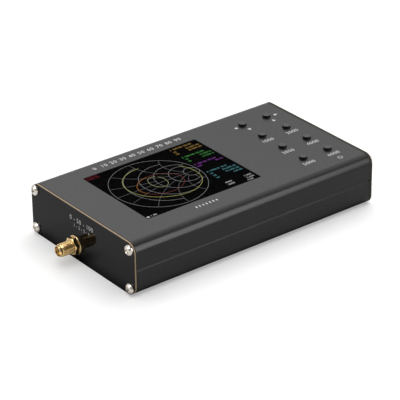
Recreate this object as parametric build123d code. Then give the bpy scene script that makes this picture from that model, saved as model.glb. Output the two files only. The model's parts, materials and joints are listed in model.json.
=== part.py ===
from build123d import *
import os
from math import radians, tan

# Handheld vector network analyzer, in millimetres, with +Z up.
# +X runs from the test port to the charging socket, +Y away from the user.
# The origin is the middle of the flat base.

# Case: two halves of one extrusion, closed by an end plate at each end
CASE_WIDTH = 81.0
CASE_HEIGHT = 26.5
CORNER_RADIUS = 5.0
INNER_CORNER_LEAST = 0.5
WALL = 1.8
PLATE_THICKNESS = 1.5

# Seam between the halves, halfway up the long sides
SEAM_BEVEL = 0.5
TONGUE_WIDTH = 0.7
TONGUE_HEIGHT = 1.0
TONGUE_GAP = 0.1

# End plate screws and the channels that they cut their thread in
SCREW_INSET = 3.35
SCREW_RADIUS = 1.5
SCREW_SIDES = 8
SCREW_LENGTH = 9.0
SCREW_GAP = 0.05
SCREW_HEAD_RADIUS = 2.65
SCREW_HEAD_HEIGHT = 1.7
CROSS_LENGTH = 3.0
CROSS_WIDTH = 0.7
CROSS_DEPTH = 1.2
CROSS_TAPER = 8.0
PLATE_HOLE_GAP = 0.15
CHANNEL_RADIUS = 2.25
CHANNEL_SLOT = 1.2

# Circuit boards, which slide in rails on the side walls
BOARD_THICKNESS = 1.5
BOARD_CLEARANCE = 0.1
BOARD_SIDE_GAP = 0.3
BOARD_END_GAP = 0.4
RAIL_DEPTH = 2.0
RAIL_THICKNESS = 1.2

# Display, and its opening in the face
FACE_Y = 1.5
FACE_BORDER = 14.9
DISPLAY_FRONT = 17.05
DISPLAY_LENGTH = 77.7
DISPLAY_SIDE = 1.9
DISPLAY_PLAY = 0.3
WINDOW_START = 1.7
WINDOW_END = 9.4
WINDOW_CORNER = 0.5
WINDOW_THICKNESS = 0.45
WINDOW_LIP = 0.8
WINDOW_GAP = 0.1
WINDOW_RECESS = 0.05
GASKET_THICKNESS = 0.3
GASKET_SETBACK = 0.4
GLASS_THICKNESS = 1.1
GLASS_PROUD = 0.1
GLASS_GAP = 0.05
FRAME_HEIGHT = 2.5
FRAME_RIM = 1.0
PAD_LENGTH = 68.0
PAD_WIDTH = 6.0
RIBBON_WIDTH = 18.0
RIBBON_THICKNESS = 0.2
RIBBON_BEND = 0.7
RIBBON_REACH = 5.0
RIBBON_START = 1.5
RIBBON_ENTRY = 2.5
RIBBON_SLOT_GAP = 0.05
RIBBON_SOCKET_LENGTH = 4.0
RIBBON_SOCKET_HEIGHT = 1.8
RIBBON_SOCKET_SIDE = 2.0

# Push buttons: a cap in the face, pushed onto the stem of the switch below it
BUTTON_SETBACK = 6.5
BUTTON_END = 7.55
BUTTON_PITCH_X = 15.4
BUTTON_PITCH_Y = 15.4
BUTTON_COLUMNS = 2
BUTTON_ROWS = 4
BUTTON_RADIUS = 1.95
BUTTON_GAP = 0.2
BUTTON_PROUD = 1.2
BUTTON_EDGE = 0.15
BUTTON_TRAVEL = 0.25
BUTTON_CLEARANCE = 0.15
CAP_SOCKET_DEPTH = 1.6
CAP_SOCKET_GAP = 0.02
SWITCH_SIDE = 6.2
SWITCH_HEIGHT = 1.7
SWITCH_FLOOR = 0.5
SWITCH_WALL = 0.7
COVER_THICKNESS = 0.2
STEM_SIDE = 1.8
STEM_GAP = 0.2
FLANGE_THICKNESS = 0.55
FLANGE_REST_GAP = 0.05
DOME_GAP = 0.05
DOME_CROWN_SHARE = 0.4

# Test port: threaded coaxial socket through the front end plate
PORT_Y = 5.3
PORT_REACH = 10.1
PORT_LEAD = 1.1
PORT_THREAD_RADIUS = 3.175
PORT_THREAD_DEPTH = 0.37
PORT_BORE_RADIUS = 2.05
PORT_SOCKET_RADIUS = 2.35
PORT_SOCKET_DEPTH = 1.9
PORT_HOLE_GAP = 0.1
PORT_FIT_GAP = 0.02
PORT_SHOULDER = 8.5
PORT_SHOULDER_THICKNESS = 2.0
PORT_LEG_LENGTH = 4.0
PORT_LEG_WIDTH = 1.4
PORT_LEG_HEIGHT = 1.1
CONTACT_RADIUS = 0.635
CONTACT_BORE_RADIUS = 0.47
CONTACT_BORE_DEPTH = 3.0
CONTACT_TAIL_RADIUS = 0.28
CONTACT_TAIL_LENGTH = 3.0
WASHER_RADIUS = 4.8
WASHER_THICKNESS = 0.4
NUT_SIDES = 6
NUT_FLATS = 8.0
NUT_THICKNESS = 2.4

# Charging socket in the rear end plate
CHARGE_Y = 0.0
CHARGE_WIDTH = 7.5
CHARGE_HEIGHT = 2.7
CHARGE_TAPER = 1.0
CHARGE_DEPTH = 5.6
CHARGE_SKIN = 0.3
CHARGE_RECESS = 0.2
CHARGE_HOLE_GAP = 0.25
TONGUE_BLADE_WIDTH = 3.8
TONGUE_BLADE_THICKNESS = 0.7
TONGUE_BLADE_SETBACK = 0.7

# Radio-frequency board: shielded chips
SHIELD_SETBACK = 9.0
SHIELD_Y = 2.0
SHIELD_LENGTH = 52.0
SHIELD_WIDTH = 48.0
SHIELD_HEIGHT = 2.6
SHIELD_SKIN = 0.3
SHIELD_SKIRT = 1.2
SHIELD_GAP = 0.05
CHIP_SIDE = 6.0
CHIP_HEIGHT = 0.9
CHIP_PITCH_X = 14.0
CHIP_PITCH_Y = 16.0
CHIP_COLUMNS = 3
CHIP_ROWS = 2

# Battery, stuck to the shield
BATTERY_SETBACK = 7.5
BATTERY_Y = 2.0
BATTERY_LENGTH = 64.0
BATTERY_WIDTH = 50.0
BATTERY_EDGE = 2.4
BATTERY_FLAT = 0.1
BATTERY_HEADROOM = 2.4
BATTERY_PAD_LENGTH = 46.0
BATTERY_PAD_WIDTH = 40.0
BATTERY_PAD_THICKNESS = 0.8
LEAD_RADIUS = 0.65
LEAD_SIDES = 6
LEAD_PITCH = 2.0
LEAD_Y = -14.0
LEAD_STRAIGHT = 5.0
LEAD_REACH = 16.0
LEAD_BEND_SHARE = 0.45
PLUG_LENGTH = 6.5
PLUG_WIDTH = 5.9
PLUG_HEIGHT = 3.4
PLUG_SHOWN = 2.5
PLUG_GAP = 0.1
PLUG_SOCKET_WALL = 0.8

# Link between the boards
LINK_SETBACK = 6.0
LINK_Y = 10.0
LINK_PITCH = 2.54
LINK_ROWS = 2
LINK_COLUMNS = 4
LINK_HEADER_HEIGHT = 2.5
LINK_AIR = 1.0
LINK_FLOOR = 2.5
LINK_PIN_SIDE = 0.64
LINK_PIN_GAP = 0.08

# Processor on the underside of the control board
PROCESSOR_SIDE = 10.0
PROCESSOR_HEIGHT = 0.9
PROCESSOR_SETBACK = 6.0

# Turns about Y that lay a piece made along Z out of the front or the rear
TO_FRONT = -90
TO_REAR = 90

# The case is as long as the row of display, ribbon socket and buttons along its face
SWITCH_ROW_LENGTH = (BUTTON_COLUMNS - 1) * BUTTON_PITCH_X + SWITCH_SIDE
RIBBON_END = DISPLAY_FRONT + DISPLAY_LENGTH + RIBBON_REACH + RIBBON_SOCKET_LENGTH
SHELL_LENGTH = RIBBON_END + BUTTON_SETBACK + SWITCH_ROW_LENGTH + BUTTON_END

# Heights and ends that the pieces share
SEAM_Z = CASE_HEIGHT / 2
SIDE_Y = CASE_WIDTH / 2 - WALL
CEILING_Z = CASE_HEIGHT - WALL
FRONT_X = -SHELL_LENGTH / 2
REAR_X = SHELL_LENGTH / 2
BOARD_INSET = SCREW_INSET + CHANNEL_RADIUS + BOARD_CLEARANCE
BOARD_WIDTH = 2 * (SIDE_Y - BOARD_SIDE_GAP)
RADIO_BOTTOM_Z = BOARD_INSET
RADIO_TOP_Z = RADIO_BOTTOM_Z + BOARD_THICKNESS
CONTROL_TOP_Z = CASE_HEIGHT - BOARD_INSET
CONTROL_BOTTOM_Z = CONTROL_TOP_Z - BOARD_THICKNESS
PORT_Z = RADIO_TOP_Z + CONTACT_TAIL_RADIUS + PORT_FIT_GAP
PORT_BACK = PLATE_THICKNESS + PORT_SHOULDER_THICKNESS
PORT_NECK_RADIUS = PORT_THREAD_RADIUS - PORT_THREAD_DEPTH
GLASS_TOP_Z = CASE_HEIGHT - WINDOW_LIP - GASKET_THICKNESS
IMAGE_Z = CASE_HEIGHT - WINDOW_RECESS - WINDOW_THICKNESS
FRAME_TOP_Z = GLASS_TOP_Z - GLASS_PROUD
FRAME_BOTTOM_Z = FRAME_TOP_Z - FRAME_HEIGHT
DISPLAY_START_X = FRONT_X + DISPLAY_FRONT
DISPLAY_X = DISPLAY_START_X + DISPLAY_LENGTH / 2
WINDOW_LENGTH = DISPLAY_LENGTH - WINDOW_START - WINDOW_END
WINDOW_WIDTH = CASE_WIDTH - 2 * FACE_BORDER
WINDOW_X = DISPLAY_START_X + WINDOW_START + WINDOW_LENGTH / 2
DISPLAY_WIDTH = WINDOW_WIDTH + 2 * DISPLAY_SIDE
RIBBON_SOCKET_X = DISPLAY_START_X + DISPLAY_LENGTH + RIBBON_REACH
BUTTON_X = FRONT_X + RIBBON_END + BUTTON_SETBACK + SWITCH_ROW_LENGTH / 2
COVER_BOTTOM_Z = CONTROL_TOP_Z + SWITCH_HEIGHT
COVER_TOP_Z = COVER_BOTTOM_Z + COVER_THICKNESS
CAP_BOTTOM_Z = COVER_TOP_Z + BUTTON_TRAVEL + BUTTON_CLEARANCE
STEM_TOP_Z = CAP_BOTTOM_Z + CAP_SOCKET_DEPTH - CAP_SOCKET_GAP
FLANGE_TOP_Z = COVER_BOTTOM_Z - FLANGE_REST_GAP
FLANGE_BOTTOM_Z = FLANGE_TOP_Z - FLANGE_THICKNESS
SWITCH_FLOOR_Z = CONTROL_TOP_Z + SWITCH_FLOOR
SWITCH_BORE_SIDE = SWITCH_SIDE - 2 * SWITCH_WALL
FLANGE_SIDE = SWITCH_BORE_SIDE - 2 * STEM_GAP
SHIELD_X = FRONT_X + SHIELD_SETBACK + SHIELD_LENGTH / 2
LID_TOP_Z = RADIO_TOP_Z + SHIELD_HEIGHT + SHIELD_SKIN
BATTERY_END_X = FRONT_X + BATTERY_SETBACK + BATTERY_LENGTH
BATTERY_BOTTOM_Z = LID_TOP_Z + BATTERY_PAD_THICKNESS
BATTERY_TOP_Z = CONTROL_BOTTOM_Z - BATTERY_HEADROOM
PLUG_X = BATTERY_END_X + LEAD_REACH
PLUG_SOCKET_END_X = PLUG_X + PLUG_LENGTH + PLUG_GAP + PLUG_SOCKET_WALL
PLUG_BOTTOM_Z = RADIO_TOP_Z + PLUG_SOCKET_WALL + PLUG_GAP
LINK_X = PLUG_SOCKET_END_X + LINK_SETBACK
PROCESSOR_X = LINK_X + LINK_ROWS * LINK_PITCH / 2 + PROCESSOR_SETBACK + PROCESSOR_SIDE / 2


def span(middle, size):
    """Low and high end of a size about its middle."""
    return middle - size / 2, middle + size / 2


def block(x, y, z):
    """Rectangular solid between (low, high) pairs."""
    sizes = [high - low for low, high in (x, y, z)]
    middles = [(low + high) / 2 for low, high in (x, y, z)]
    return Pos(*middles) * Box(*sizes)


def slab(outline, low, high):
    """Flat piece: a top-view outline drawn out between two heights."""
    return Pos(0, 0, low) * extrude(outline, high - low)


def turned(*points):
    """Solid of revolution about Z from (radius, height) corners."""
    return revolve(Plane.XZ * make_face(Polyline(*points, close=True)), Axis.Z)


def square(side):
    return Rectangle(side, side)


def lengthwise(section, start, end):
    """Solid with an end-view section, drawn as (across, up), between two places along X."""
    return Pos(start, 0, 0) * extrude(Plane.YZ * section, end - start)


def grid(columns, rows, pitch_x, pitch_y):
    """Centres of a rectangular pattern about the origin, row by row from +Y."""
    return [
        ((column - (columns - 1) / 2) * pitch_x, ((rows - 1) / 2 - row) * pitch_y)
        for row in range(rows)
        for column in range(columns)
    ]


def button_centres():
    """Centres of the buttons on the face, left to right and then towards the user."""
    places = grid(BUTTON_COLUMNS, BUTTON_ROWS, BUTTON_PITCH_X, BUTTON_PITCH_Y)
    return [(BUTTON_X + x, FACE_Y + y) for x, y in places]


def screw_centres():
    """Centres of the four screws of an end plate, as (across, up)."""
    places = grid(2, 2, CASE_WIDTH - 2 * SCREW_INSET, CASE_HEIGHT - 2 * SCREW_INSET)
    return [(across, SEAM_Z + up) for across, up in places]


# Case

def case_outline(inset=0.0):
    """Rounded end-view outline of the case, pulled in by inset all round."""
    radius = max(CORNER_RADIUS - inset, INNER_CORNER_LEAST)
    width = CASE_WIDTH - 2 * inset
    height = CASE_HEIGHT - 2 * inset
    return Pos(0, SEAM_Z) * RectangleRounded(width, height, radius)


def side_strip(side, inner, outer, low, high):
    """End-view rectangle on one side, from inner to outer across and low to high."""
    width = outer - inner
    height = high - low
    return Pos(side * (inner + width / 2), low + height / 2) * Rectangle(width, height)


def half_section():
    """End-view section of the lower half: wall, screw channels, board rails and bevelled seam."""
    section = case_outline() - case_outline(WALL)
    rail_inner = SIDE_Y - RAIL_DEPTH
    wall_middle = SIDE_Y + WALL / 2
    ledge_top = RADIO_BOTTOM_Z - BOARD_CLEARANCE
    lip_bottom = RADIO_TOP_Z + BOARD_CLEARANCE
    channel_y = CASE_WIDTH / 2 - SCREW_INSET
    edge = CASE_WIDTH / 2
    for side in (-1, 1):
        channel = Pos(side * channel_y, SCREW_INSET)
        section += (channel * Circle(CHANNEL_RADIUS)) & case_outline()
        section += side_strip(side, rail_inner, wall_middle, SCREW_INSET, ledge_top)
        section += side_strip(side, rail_inner, wall_middle, lip_bottom, lip_bottom + RAIL_THICKNESS)
        section -= channel * Circle(SCREW_RADIUS + SCREW_GAP)
        slot_inner = channel_y - CHANNEL_RADIUS - WALL
        slot_low, slot_high = span(SCREW_INSET, CHANNEL_SLOT)
        section -= side_strip(side, slot_inner, channel_y, slot_low, slot_high)
        bevel_low = side * edge, SEAM_Z - SEAM_BEVEL
        bevel_inner = side * (edge - SEAM_BEVEL), SEAM_Z
        section -= Polygon(bevel_low, (side * edge, SEAM_Z), bevel_inner)
    return section & (Pos(0, SEAM_Z / 2) * Rectangle(CASE_WIDTH, SEAM_Z))


def bottom_shell():
    """Lower half, with the tongue that locates the upper one."""
    section = half_section()
    for side in (-1, 1):
        section += side_strip(side, SIDE_Y, SIDE_Y + TONGUE_WIDTH, SEAM_Z - WALL, SEAM_Z + TONGUE_HEIGHT)
    return lengthwise(section, FRONT_X, REAR_X)


def top_shell():
    """Upper half: the same section turned over, with the display opening and the button holes."""
    section = Pos(0, CASE_HEIGHT) * Rot(0, 0, 180) * half_section()
    groove_top = SEAM_Z + TONGUE_HEIGHT + TONGUE_GAP
    for side in (-1, 1):
        groove_outer = SIDE_Y + TONGUE_WIDTH + TONGUE_GAP
        section -= side_strip(side, SIDE_Y - TONGUE_GAP, groove_outer, SEAM_Z - TONGUE_GAP, groove_top)
    shell = lengthwise(section, FRONT_X, REAR_X)
    shell -= slab(window_outline(), CEILING_Z, CASE_HEIGHT)
    pocket = display_outline(DISPLAY_PLAY)
    shell -= slab(pocket, CEILING_Z - WALL, CASE_HEIGHT - WINDOW_LIP)
    holes = [Pos(x, y) * Circle(BUTTON_RADIUS + BUTTON_GAP) for x, y in button_centres()]
    return shell - slab(Sketch() + holes, CEILING_Z, CASE_HEIGHT)


def end_plate(start, opening):
    """End plate from start along X, with its screw holes and one opening."""
    outline = case_outline() - opening
    for centre in screw_centres():
        outline -= Pos(*centre) * Circle(SCREW_RADIUS + PLATE_HOLE_GAP)
    return lengthwise(outline, start, start + PLATE_THICKNESS)


def front_end_plate():
    opening = Pos(PORT_Y, PORT_Z) * Circle(PORT_THREAD_RADIUS + PORT_HOLE_GAP)
    return end_plate(FRONT_X - PLATE_THICKNESS, opening)


def rear_end_plate():
    return end_plate(REAR_X, offset(charge_outline(), CHARGE_HOLE_GAP, kind=Kind.INTERSECTION))


def plate_screw():
    """Cross-head screw along Z, with the underside of its head at height 0 and a shank of few sides."""
    head = slab(Circle(SCREW_HEAD_RADIUS), 0, SCREW_HEAD_HEIGHT)
    shank = slab(RegularPolygon(SCREW_RADIUS, SCREW_SIDES), -SCREW_LENGTH, 0)
    cross = Rectangle(CROSS_LENGTH, CROSS_WIDTH) + Rectangle(CROSS_WIDTH, CROSS_LENGTH)
    recess = extrude(Pos(0, 0, SCREW_HEAD_HEIGHT) * cross, -CROSS_DEPTH, taper=CROSS_TAPER)
    return head + shank - recess


def plate_screws(outer_x, turn):
    """The four screws of one end plate, heads on its outer face."""
    screw = Rot(0, turn, 0) * plate_screw()
    return [Pos(outer_x, across, up) * screw for across, up in screw_centres()]


# Display

def display_outline(grow=0.0):
    """Top-view outline of the display module, grown by a margin all round."""
    return Pos(DISPLAY_X, FACE_Y) * Rectangle(DISPLAY_LENGTH + 2 * grow, DISPLAY_WIDTH + 2 * grow)


def window_outline(gap=0.0):
    """Top-view outline of the display opening, pulled in by a gap all round."""
    sides = WINDOW_LENGTH - 2 * gap, WINDOW_WIDTH - 2 * gap
    return Pos(WINDOW_X, FACE_Y) * RectangleRounded(*sides, WINDOW_CORNER)


def display_window():
    """Thin clear pane that closes the opening and lies on the glass."""
    return slab(window_outline(WINDOW_GAP), IMAGE_Z, IMAGE_Z + WINDOW_THICKNESS)


def display_gasket():
    """Foam frame pressed between the glass and the case, round the window."""
    hole_length = WINDOW_LENGTH + 2 * GASKET_SETBACK
    hole_width = WINDOW_WIDTH + 2 * GASKET_SETBACK
    outline = display_outline() - Pos(WINDOW_X, FACE_Y) * Rectangle(hole_length, hole_width)
    return slab(outline, GLASS_TOP_Z, GLASS_TOP_Z + GASKET_THICKNESS)


def display_glass():
    """Two bonded plates: a wide one in the frame, and one that fills the opening and shows the image."""
    wide = slab(display_outline(-FRAME_RIM - GLASS_GAP), GLASS_TOP_Z - GLASS_THICKNESS, GLASS_TOP_Z)
    # Its square corners clear the round ones of the opening
    sides = WINDOW_LENGTH - 2 * WINDOW_CORNER, WINDOW_WIDTH - 2 * WINDOW_CORNER
    return wide + slab(Pos(WINDOW_X, FACE_Y) * Rectangle(*sides), GLASS_TOP_Z, IMAGE_Z)


def backlight_frame():
    """Tray that holds the glass and lights it from behind."""
    tray = slab(display_outline(), FRAME_BOTTOM_Z, FRAME_TOP_Z)
    return tray - slab(display_outline(-FRAME_RIM), GLASS_TOP_Z - GLASS_THICKNESS, GLASS_TOP_Z)


def display_pads():
    """Two foam strips between the control board and the backlight frame."""
    reach = (DISPLAY_WIDTH - PAD_WIDTH) / 2
    height = CONTROL_TOP_Z, FRAME_BOTTOM_Z
    places = FACE_Y - reach, FACE_Y + reach
    return [block(span(DISPLAY_X, PAD_LENGTH), span(y, PAD_WIDTH), height) for y in places]


def ribbon_heights():
    """Heights of the ribbon at the display and in its socket."""
    return (FRAME_BOTTOM_Z + FRAME_TOP_Z) / 2, CONTROL_TOP_Z + RIBBON_SOCKET_HEIGHT / 2


def display_ribbon():
    """Flat flexible lead from the end of the display down to its socket."""
    high, low = ribbon_heights()
    start = DISPLAY_START_X + DISPLAY_LENGTH
    path = FilletPolyline(
        (start, high),
        (start + RIBBON_START, high),
        (RIBBON_SOCKET_X - RIBBON_START, low),
        (RIBBON_SOCKET_X + RIBBON_ENTRY, low),
        radius=RIBBON_BEND,
    )
    ribbon = extrude(Plane.XZ * trace(path, RIBBON_THICKNESS), RIBBON_WIDTH / 2, both=True)
    return Pos(0, FACE_Y, 0) * ribbon


def ribbon_socket():
    """Socket on the control board, slotted for the ribbon."""
    low = ribbon_heights()[1]
    x = RIBBON_SOCKET_X, RIBBON_SOCKET_X + RIBBON_SOCKET_LENGTH
    width = RIBBON_WIDTH + 2 * RIBBON_SOCKET_SIDE
    body = block(x, span(FACE_Y, width), (CONTROL_TOP_Z, CONTROL_TOP_Z + RIBBON_SOCKET_HEIGHT))
    slot_x = RIBBON_SOCKET_X, RIBBON_SOCKET_X + RIBBON_ENTRY + RIBBON_SLOT_GAP
    slot_width = RIBBON_WIDTH + 2 * RIBBON_SLOT_GAP
    slot_height = RIBBON_THICKNESS + 2 * RIBBON_SLOT_GAP
    return body - block(slot_x, span(FACE_Y, slot_width), span(low, slot_height))


# Push buttons

def at_buttons(piece):
    """One copy of a piece under each button."""
    return [Pos(x, y, 0) * piece for x, y in button_centres()]


def button_cap():
    """Round cap with a bevelled top edge and a square socket for the stem."""
    top = CASE_HEIGHT + BUTTON_PROUD
    cap = turned(
        (0, CAP_BOTTOM_Z),
        (BUTTON_RADIUS, CAP_BOTTOM_Z),
        (BUTTON_RADIUS, top - BUTTON_EDGE),
        (BUTTON_RADIUS - BUTTON_EDGE, top),
        (0, top),
    )
    return cap - slab(square(STEM_SIDE + 2 * CAP_SOCKET_GAP), CAP_BOTTOM_Z, CAP_BOTTOM_Z + CAP_SOCKET_DEPTH)


def plunger():
    """Switch plunger: a square stem through the cover on a flange that the cover keeps in."""
    stem = slab(square(STEM_SIDE), FLANGE_BOTTOM_Z, STEM_TOP_Z)
    return stem + slab(square(FLANGE_SIDE), FLANGE_BOTTOM_Z, FLANGE_TOP_Z)


def switch_base():
    """Open cup of a push switch, soldered to the control board."""
    cup = slab(square(SWITCH_SIDE), CONTROL_TOP_Z, COVER_BOTTOM_Z)
    return cup - slab(square(SWITCH_BORE_SIDE), SWITCH_FLOOR_Z, COVER_BOTTOM_Z)


def switch_cover():
    """Metal cover that closes the cup round the stem."""
    return slab(square(SWITCH_SIDE) - square(STEM_SIDE + 2 * STEM_GAP), COVER_BOTTOM_Z, COVER_TOP_Z)


def switch_dome():
    """Four-sided spring dome on the floor of the cup, just short of the pressed plunger."""
    crown_z = FLANGE_BOTTOM_Z - BUTTON_TRAVEL - DOME_GAP
    foot = FLANGE_SIDE / 2
    crown = foot * DOME_CROWN_SHARE
    side_view = Polygon((-foot, SWITCH_FLOOR_Z), (foot, SWITCH_FLOOR_Z), (crown, crown_z), (-crown, crown_z))
    arch = extrude(Plane.XZ * side_view, foot, both=True)
    return arch & (Rot(0, 0, 90) * arch)


# Boards

def control_board():
    x = FRONT_X + BOARD_END_GAP, REAR_X - BOARD_END_GAP
    return block(x, span(0, BOARD_WIDTH), (CONTROL_BOTTOM_Z, CONTROL_TOP_Z))


def radio_board():
    """Board behind the test port, whose shoulder stands between it and the end plate."""
    x = FRONT_X + PORT_SHOULDER_THICKNESS, REAR_X - BOARD_END_GAP
    return block(x, span(0, BOARD_WIDTH), (RADIO_BOTTOM_Z, RADIO_TOP_Z))


def processor():
    height = CONTROL_BOTTOM_Z - PROCESSOR_HEIGHT, CONTROL_BOTTOM_Z
    return block(span(PROCESSOR_X, PROCESSOR_SIDE), span(LINK_Y, PROCESSOR_SIDE), height)


def radio_chips():
    """Chips under the shield."""
    height = RADIO_TOP_Z, RADIO_TOP_Z + CHIP_HEIGHT
    places = grid(CHIP_COLUMNS, CHIP_ROWS, CHIP_PITCH_X, CHIP_PITCH_Y)
    return [
        block(span(SHIELD_X + x, CHIP_SIDE), span(SHIELD_Y + y, CHIP_SIDE), height) for x, y in places
    ]


def shield_outline(grow=0.0):
    return Pos(SHIELD_X, SHIELD_Y) * Rectangle(SHIELD_LENGTH + 2 * grow, SHIELD_WIDTH + 2 * grow)


def shield_frame():
    """Fence soldered round the chips."""
    fence = shield_outline() - shield_outline(-SHIELD_SKIN)
    return slab(fence, RADIO_TOP_Z, RADIO_TOP_Z + SHIELD_HEIGHT)


def shield_lid():
    """Lid clipped over the fence, with a skirt outside it."""
    fence_top = RADIO_TOP_Z + SHIELD_HEIGHT
    grow = SHIELD_GAP + SHIELD_SKIN
    lid = slab(shield_outline(grow), fence_top - SHIELD_SKIRT, LID_TOP_Z)
    return lid - slab(shield_outline(SHIELD_GAP), fence_top - SHIELD_SKIRT, fence_top)


def link_outline():
    return Pos(LINK_X, LINK_Y) * Rectangle(LINK_ROWS * LINK_PITCH, LINK_COLUMNS * LINK_PITCH)


def link_holes(side):
    """Square holes of the link, in top view."""
    places = grid(LINK_ROWS, LINK_COLUMNS, LINK_PITCH, LINK_PITCH)
    return Sketch() + [Pos(LINK_X + x, LINK_Y + y) * Rectangle(side, side) for x, y in places]


def link_header():
    """Pin strip under the control board."""
    strip = link_outline() - link_holes(LINK_PIN_SIDE + 2 * LINK_PIN_GAP)
    return slab(strip, CONTROL_BOTTOM_Z - LINK_HEADER_HEIGHT, CONTROL_BOTTOM_Z)


def link_socket_top():
    return CONTROL_BOTTOM_Z - LINK_HEADER_HEIGHT - LINK_AIR


def link_socket():
    """Tall socket on the radio-frequency board."""
    top = link_socket_top()
    body = slab(link_outline(), RADIO_TOP_Z, top)
    return body - slab(link_holes(LINK_PIN_SIDE + 2 * LINK_PIN_GAP), RADIO_TOP_Z + LINK_FLOOR, top)


def link_pins():
    """Pins from the control board to just above the floor of the socket's holes."""
    low = RADIO_TOP_Z + LINK_FLOOR + LINK_PIN_GAP
    return slab(link_holes(LINK_PIN_SIDE), low, CONTROL_BOTTOM_Z).solids()


# Test port, made along Z from the outer face of the front end plate

def at_port(piece):
    """Lay a piece of the port along -X at its place on the front end plate."""
    return Pos(FRONT_X - PLATE_THICKNESS, PORT_Y, PORT_Z) * Rot(0, TO_FRONT, 0) * piece


def port_body():
    """Threaded barrel with a plain lead, a square shoulder behind the plate and legs round the board's edge."""
    thread_start = WASHER_THICKNESS + NUT_THICKNESS
    thread_end = PORT_REACH - PORT_LEAD
    floor = PORT_REACH - PORT_SOCKET_DEPTH
    barrel = turned(
        (PORT_BORE_RADIUS, -PORT_BACK),
        (PORT_NECK_RADIUS, -PORT_BACK),
        (PORT_NECK_RADIUS, thread_start),
        (PORT_THREAD_RADIUS, thread_start),
        (PORT_THREAD_RADIUS, thread_end - PORT_THREAD_DEPTH),
        (PORT_NECK_RADIUS, thread_end),
        (PORT_NECK_RADIUS, PORT_REACH),
        (PORT_SOCKET_RADIUS, PORT_REACH),
        (PORT_SOCKET_RADIUS, floor),
        (PORT_BORE_RADIUS, floor),
    )
    shoulder = Rectangle(PORT_SHOULDER, PORT_SHOULDER) - Circle(PORT_BORE_RADIUS)
    body = at_port(barrel + slab(shoulder, -PORT_BACK, -PLATE_THICKNESS))
    back = FRONT_X + PORT_SHOULDER_THICKNESS
    spread = (PORT_SHOULDER - PORT_LEG_WIDTH) / 2
    for side in (-1, 1):
        for bottom in (RADIO_TOP_Z, RADIO_BOTTOM_Z - PORT_LEG_HEIGHT):
            leg_y = span(PORT_Y + side * spread, PORT_LEG_WIDTH)
            body += block((back, back + PORT_LEG_LENGTH), leg_y, (bottom, bottom + PORT_LEG_HEIGHT))
    return body


def port_insulator():
    floor = PORT_REACH - PORT_SOCKET_DEPTH
    inner = CONTACT_RADIUS + PORT_FIT_GAP
    outer = PORT_BORE_RADIUS - PORT_FIT_GAP
    return at_port(turned((inner, -PORT_BACK), (outer, -PORT_BACK), (outer, floor), (inner, floor)))


def port_contact():
    """Centre contact: a socket in front, and a thin tail soldered to the board."""
    floor = PORT_REACH - PORT_SOCKET_DEPTH
    tail_end = -PORT_BACK - CONTACT_TAIL_LENGTH
    contact = turned(
        (0, tail_end),
        (CONTACT_TAIL_RADIUS, tail_end),
        (CONTACT_TAIL_RADIUS, -PORT_BACK),
        (CONTACT_RADIUS, -PORT_BACK),
        (CONTACT_RADIUS, floor),
        (CONTACT_BORE_RADIUS, floor),
        (CONTACT_BORE_RADIUS, floor - CONTACT_BORE_DEPTH),
        (0, floor - CONTACT_BORE_DEPTH),
    )
    return at_port(contact)


def port_washer():
    ring = Circle(WASHER_RADIUS) - Circle(PORT_THREAD_RADIUS + PORT_FIT_GAP)
    return at_port(slab(ring, 0, WASHER_THICKNESS))


def port_nut():
    """Hexagon nut, whose bore is the root of the thread."""
    bore = Circle(PORT_NECK_RADIUS + PORT_FIT_GAP)
    hexagon = RegularPolygon(NUT_FLATS / 2, NUT_SIDES, major_radius=False) - bore
    return at_port(slab(hexagon, WASHER_THICKNESS, WASHER_THICKNESS + NUT_THICKNESS))


# Charging socket

def charge_outline():
    """End-view outline of the socket, narrower below, standing on the radio-frequency board."""
    half = CHARGE_WIDTH / 2
    low = RADIO_TOP_Z
    return Polygon(
        (CHARGE_Y - half + CHARGE_TAPER, low),
        (CHARGE_Y + half - CHARGE_TAPER, low),
        (CHARGE_Y + half, low + CHARGE_TAPER),
        (CHARGE_Y + half, low + CHARGE_HEIGHT),
        (CHARGE_Y - half, low + CHARGE_HEIGHT),
        (CHARGE_Y - half, low + CHARGE_TAPER),
    )


def charge_mouth_x():
    return REAR_X + PLATE_THICKNESS - CHARGE_RECESS


def charge_socket():
    """Sheet metal socket, closed at the back."""
    mouth = charge_mouth_x()
    back = mouth - CHARGE_DEPTH
    shell = lengthwise(charge_outline(), back, mouth)
    inside = offset(charge_outline(), -CHARGE_SKIN, kind=Kind.INTERSECTION)
    return shell - lengthwise(inside, back + CHARGE_SKIN, mouth)


def charge_tongue():
    """Contact blade on the back wall of the socket."""
    mouth = charge_mouth_x()
    middle = RADIO_TOP_Z + CHARGE_HEIGHT / 2
    x = mouth - CHARGE_DEPTH + CHARGE_SKIN, mouth - TONGUE_BLADE_SETBACK
    return block(x, span(CHARGE_Y, TONGUE_BLADE_WIDTH), span(middle, TONGUE_BLADE_THICKNESS))


# Battery

def battery_cell():
    """Flat pouch cell with bevelled long edges."""
    height = BATTERY_TOP_Z - BATTERY_BOTTOM_Z
    edge = min(BATTERY_EDGE, (height - BATTERY_FLAT) / 2)
    outline = chamfer(Rectangle(BATTERY_WIDTH, height).vertices(), edge)
    section = Pos(BATTERY_Y, BATTERY_BOTTOM_Z + height / 2) * outline
    return lengthwise(section, BATTERY_END_X - BATTERY_LENGTH, BATTERY_END_X)


def battery_pad():
    """Adhesive foam between the shield and the cell."""
    x = span(SHIELD_X, BATTERY_PAD_LENGTH)
    return block(x, span(SHIELD_Y, BATTERY_PAD_WIDTH), (LID_TOP_Z, BATTERY_BOTTOM_Z))


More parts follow.
